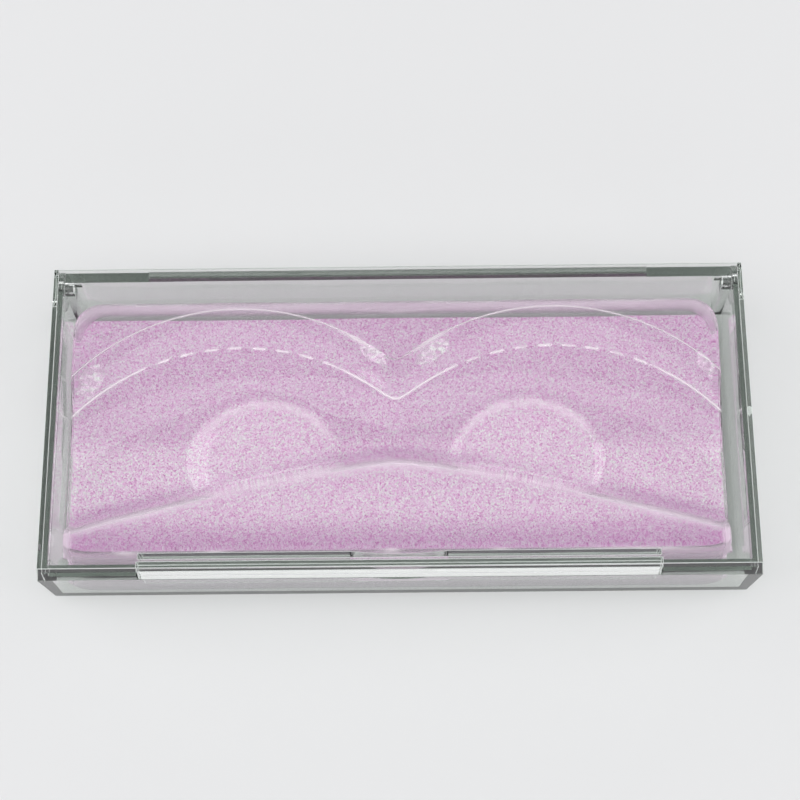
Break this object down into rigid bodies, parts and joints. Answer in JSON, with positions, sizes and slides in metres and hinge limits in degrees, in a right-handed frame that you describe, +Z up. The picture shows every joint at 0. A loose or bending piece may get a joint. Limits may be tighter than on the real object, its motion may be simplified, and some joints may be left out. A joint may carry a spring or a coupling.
{
  "type": "false eyelash case",
  "caption": "Clear hinged storage case for a pair of false eyelashes, with a clear formed lash tray over a lilac glitter card.",
  "frame": {"origin": "middle of the flat underside of the closed case", "axes": "+X along the width, to the right as seen from the front; +Y from the front, where the nail notch is, to the hinge at the rear; +Z up through the lid"},
  "size_m": [0.1112, 0.0508, 0.0165],
  "materials": {
    "clear_base": "gloss",
    "clear_lid": "gloss",
    "clear_sheet": "gloss",
    "glitter": "satin",
    "adhesive": "satin"
  },
  "bodies": {
    "base": {"base": "clear_base", "lash_tray": "clear_sheet", "glitter_card": "glitter", "adhesive_spots": "adhesive"},
    "lid": {"lid": "clear_lid"}
  },
  "joints": [
    {"name": "lid_hinge", "type": "hinge", "parent": "base", "child": "lid", "pos_m": [0, 0.023, 0.01205], "axis": [-1, 0, 0], "range_deg": [0, 103]}
  ]
}
